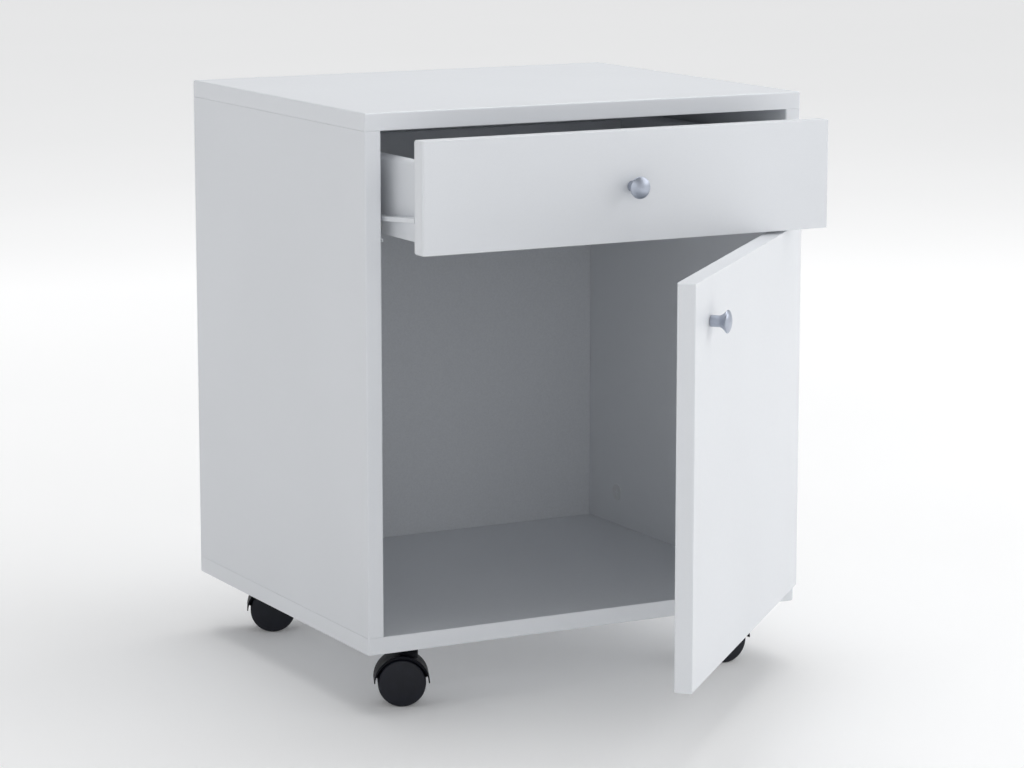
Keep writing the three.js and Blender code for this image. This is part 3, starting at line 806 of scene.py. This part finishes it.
def hood_neck(centre, outer, top, half):
    """The round neck that holds the kingpin, cut away over the wheels."""
    wide, socket, deep = NECK["radius"], NECK["socket"], NECK["deep"]
    foot = centre[1] + 10 * MM
    edge = 0.5 * MM
    overlap = 0.4 * MM
    profile = [(0, top - deep), (socket, top - deep), (socket, top), (wide - edge, top)]
    profile += arc((wide - edge, top - edge), edge, 90, 0, steps=4)[1:]
    profile += [(wide, foot), (0, foot)]
    under = hood_underside(centre, outer - overlap)
    room = upright_slab([*under, (under[-1][0], 0), (under[0][0], 0)], -2 * half, 2 * half)
    return combined(lathe(profile, segments=48), room, "DIFFERENCE")


def caster_hood(corner, floor, axle):
    """The hood: an arch over both wheels, its neck, and the web that carries the axle."""
    node = f"caster_hood_{corner}"
    low, high = own_box(node, floor)
    half = (high.y - low.y) / 2
    outer = (high.x - low.x) / 2
    centre = (axle.x, axle.z)
    outline = arc(centre, outer, 0, 180, steps=40) + hood_underside(centre, outer)[::-1]
    shell = upright_slab(outline, -half, half)
    rounded(shell, sharp_edges(shell, 50), CASTER_EDGE, segments=3)
    web_half, web_inset = 2.2 * MM, 1.2 * MM
    foot_x, foot_z, hub = 8 * MM, 6 * MM, 7.5 * MM
    web_line = arc(centre, outer - web_inset, 8, 172, steps=24)
    web_line += [(axle.x - foot_x, axle.z - foot_z), *arc(centre, hub, 225, 315, steps=8)]
    web_line += [(axle.x + foot_x, axle.z - foot_z)]
    mesh = combined(shell, upright_slab(web_line, -web_half, web_half), "UNION")
    mesh = combined(mesh, hood_neck(centre, outer, high.z, half), "UNION")
    standing_for(node, mesh, [HOOD_BLACK], floor, crease=30)


def caster_wheel(node, floor, axle, side):
    """A wheel: a gently domed face with a soft shoulder, and a dished inner face."""
    low, high = own_box(node, floor)
    radius = (high.z - low.z) / 2
    inside, outside = (low.y, high.y) if side > 0 else (-high.y, -low.y)
    width = outside - inside
    bore, bore_end = 3.3 * MM, width - 2.4 * MM
    hub, dish_start, dish = 7 * MM, 7.4 * MM, 1.2 * MM
    dish_end, rim = radius - 3.6 * MM, radius - 3.2 * MM
    edge = 0.8 * MM
    shoulder = 2.6 * MM
    dome, dome_power = 0.9 * MM, 2.4
    # (radius, height) from the bore's end, out over the inner face and back over the outer one
    profile = [(0, bore_end), (bore, bore_end), (bore, 0), (hub, 0), (dish_start, dish)]
    profile += [(dish_end, dish), (rim, 0)]
    profile += arc((radius - edge, edge), edge, -90, 0, steps=4)
    profile += arc((radius - shoulder, width - dome - shoulder), shoulder, 0, 78, steps=8)
    face = radius - shoulder
    steps = 8
    for i in range(steps + 1):
        share = 1 - i / steps
        profile.append((face * share, width - dome * share**dome_power))
    place = floor @ Matrix.Translation((axle.x, side * inside, axle.z)) @ facing((0, 0, 0), side * Y)
    standing_for(node, lathe(profile, segments=72), [WHEEL_BLACK], place, crease=38, even=False)


def casters():
    for corner in CORNERS:
        floor, axle = caster_frame(corner)
        caster_plate(corner)
        caster_hood(corner, floor, axle)
        turned_pin(f"caster_axle_{corner}", CASTER_EDGE)
        for letter, side in (("a", 1), ("b", -1)):
            caster_wheel(f"caster_wheel_{corner}_{letter}", floor, axle, side)


# --------------------------------------------------------------------- build
carcass_boards()
drawer_boards()
board("door_panel", DOOR)
cam_caps()
runners()
knob("drawer", -Y)
knob("door", -Y, DOOR)
hinges()
casters()


# --------------------------------------------------------------------- studio
def floor():
    """A pale matt floor whose glow grows outward, so that it fades into the surround."""
    half = FLOOR["half"]
    data = bpy.data.meshes.new("floor")
    corners = [(-half, -half, 0), (half, -half, 0), (half, half, 0), (-half, half, 0)]
    data.from_pydata(corners, [], [(0, 1, 2, 3)])
    tree = Tree("studio_floor", Emission_Color=(1, 1, 1, 1), Specular_IOR_Level=0.1)
    tree.color(tree.ramp(tree.noise(0.8, detail=2), low=(0.93,) * 3, high=(0.95,) * 3))
    tree.roughness(tree.noise(50 * MM, detail=2), low=0.7, high=0.8)
    glow = FLOOR_GLOW
    strength = tree.spread(tree.radius()[0], glow["near"], glow["far"], glow["start"], glow["end"])
    tree.link(strength, tree.shader.inputs["Emission Strength"])
    data.materials.append(tree.material)
    ground = bpy.data.objects.new("floor", data)
    ground.location.z = -FLOOR["under_wheels"]
    bpy.context.scene.collection.objects.link(ground)


def area_light(name, place, size, power):
    light = bpy.data.lights.new(name, "AREA")
    light.shape = "SQUARE"
    light.size = size
    light.energy = power
    lamp = bpy.data.objects.new(name, light)
    lamp.location = place
    lamp.rotation_mode = "QUATERNION"
    lamp.rotation_quaternion = (LIT_POINT - Vector(place)).to_track_quat("-Z", "Y")
    bpy.context.scene.collection.objects.link(lamp)


def world():
    """An even surround that is brighter near the horizon, where the floor fades into it."""
    sky = bpy.data.worlds.new("studio")
    sky.use_nodes = True
    nodes, links = sky.node_tree.nodes, sky.node_tree.links
    background = nodes["Background"]
    background.inputs["Color"].default_value = SKY_COLOR
    direction = nodes.new("ShaderNodeSeparateXYZ")
    links.new(nodes.new("ShaderNodeTexCoord").outputs["Generated"], direction.inputs[0])
    fade = nodes.new("ShaderNodeMapRange")
    fade.inputs["From Min"].default_value = math.sin(math.radians(SKY["band"]))
    fade.inputs["From Max"].default_value = math.sin(math.radians(SKY["clear"]))
    fade.inputs["To Min"].default_value = SKY["horizon"]
    fade.inputs["To Max"].default_value = SKY["overhead"]
    links.new(direction.outputs["Z"], fade.inputs["Value"])
    links.new(fade.outputs["Result"], background.inputs["Strength"])
    bpy.context.scene.world = sky


def camera():
    azimuth, elevation = math.radians(CAMERA["azimuth"]), math.radians(CAMERA["elevation"])
    level = math.cos(elevation)
    back = Vector((math.sin(azimuth) * level, -math.cos(azimuth) * level, math.sin(elevation)))
    lens = bpy.data.cameras.new("camera")
    lens.lens = CAMERA["lens"]
    lens.sensor_width = 36
    lens.clip_end = 200
    view = bpy.data.objects.new("camera", lens)
    view.location = CAMERA_TARGET + back * CAMERA["distance"]
    view.rotation_mode = "QUATERNION"
    view.rotation_quaternion = (-back).to_track_quat("-Z", "Y")
    bpy.context.scene.collection.objects.link(view)
    bpy.context.scene.camera = view


floor()
area_light("key", place=(2.6, -1.3, 1.9), size=2.4, power=31)
area_light("front_fill", place=(-1.2, -3.2, 1.6), size=2.0, power=11.7)
area_light("top", place=(0.2, 0.3, 3.0), size=2.4, power=45)
world()
camera()
bpy.context.scene.view_settings.view_transform = "Standard"
